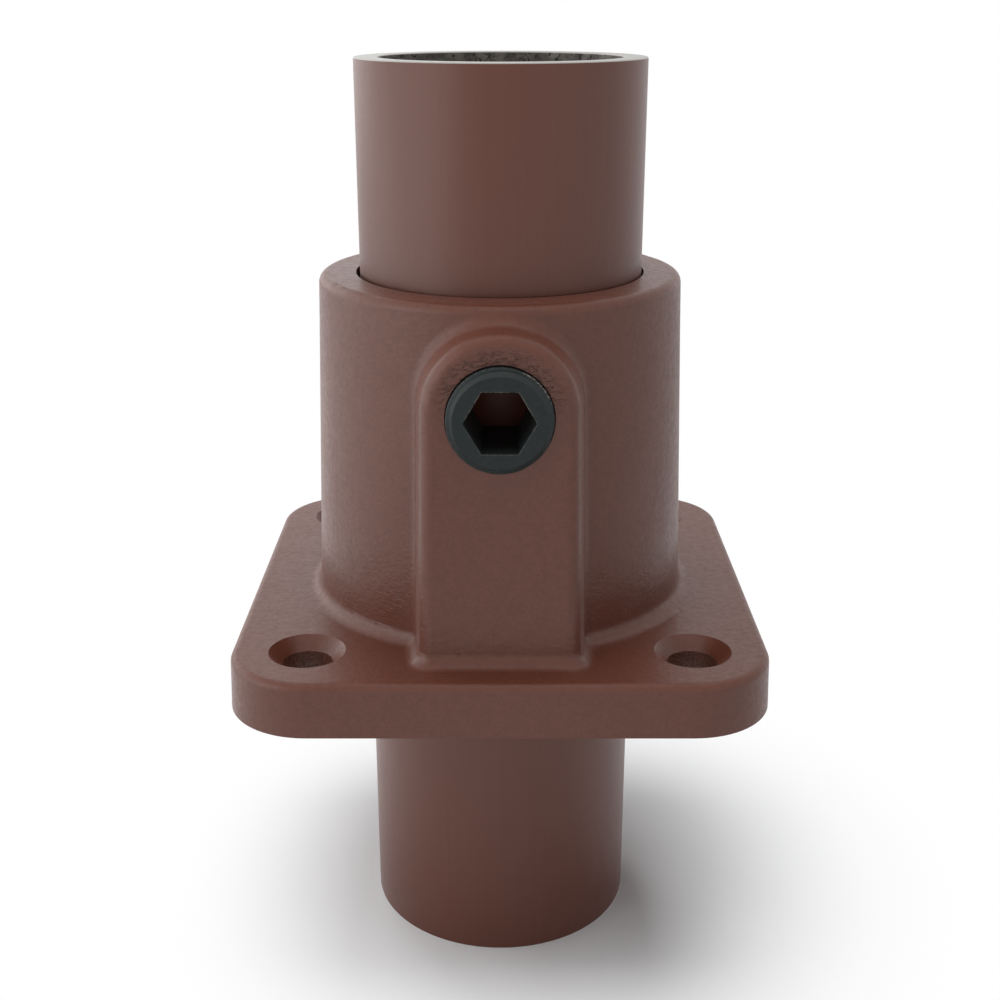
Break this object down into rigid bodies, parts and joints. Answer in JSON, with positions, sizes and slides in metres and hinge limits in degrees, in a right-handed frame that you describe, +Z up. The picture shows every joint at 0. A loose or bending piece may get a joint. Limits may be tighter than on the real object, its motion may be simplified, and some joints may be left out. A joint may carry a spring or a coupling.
{
  "type": "tube clamp base flange with its tube",
  "caption": "Cast square base flange with a round socket, clamped on a steel tube by a hollow hexagon set screw in a raised pad.",
  "frame": {"origin": "centre of the socket's bore, on the plate's underside, which is the middle of the four plate holes", "axes": "+Z runs up the socket and the tube, -Y points out of the pad that holds the set screw"},
  "size_m": [0.0894, 0.0894, 0.1574],
  "materials": {
    "casting_paint": "satin",
    "screw_steel": "satin",
    "tube_paint": "satin"
  },
  "bodies": {
    "root": {"flange_casting": "casting_paint", "set_screw": "screw_steel", "tube": "tube_paint"}
  },
  "joints": []
}
